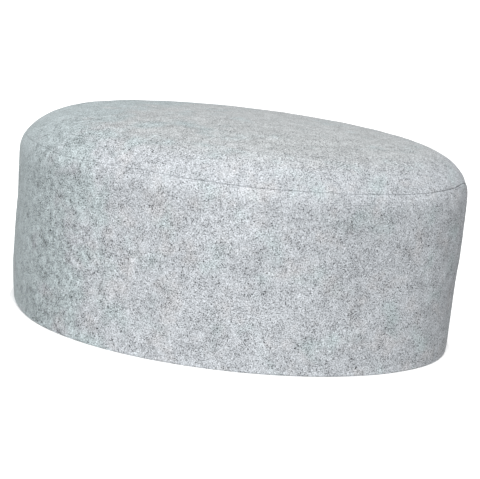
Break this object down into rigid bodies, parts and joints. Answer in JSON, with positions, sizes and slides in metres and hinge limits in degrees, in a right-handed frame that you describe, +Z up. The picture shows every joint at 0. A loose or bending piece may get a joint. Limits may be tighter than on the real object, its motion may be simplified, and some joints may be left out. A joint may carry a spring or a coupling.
{
  "type": "kufi cap",
  "caption": "Plain brimless kufi cap in felt: a tall oval side band with a turned hem and a softly domed crown sewn on at the shoulder.",
  "frame": {"origin": "middle of the oval rim, on the plane that the rim rests on", "axes": "+X towards the wearer's forehead along the oval, +Y to the wearer's left, +Z up"},
  "size_m": [0.2082, 0.171, 0.0946],
  "materials": {
    "grey_felt": "matte felted wool, light grey flecked with darker and lighter fibres"
  },
  "bodies": {
    "root": {"crown_top": "grey_felt", "side_band": "grey_felt"}
  },
  "joints": []
}
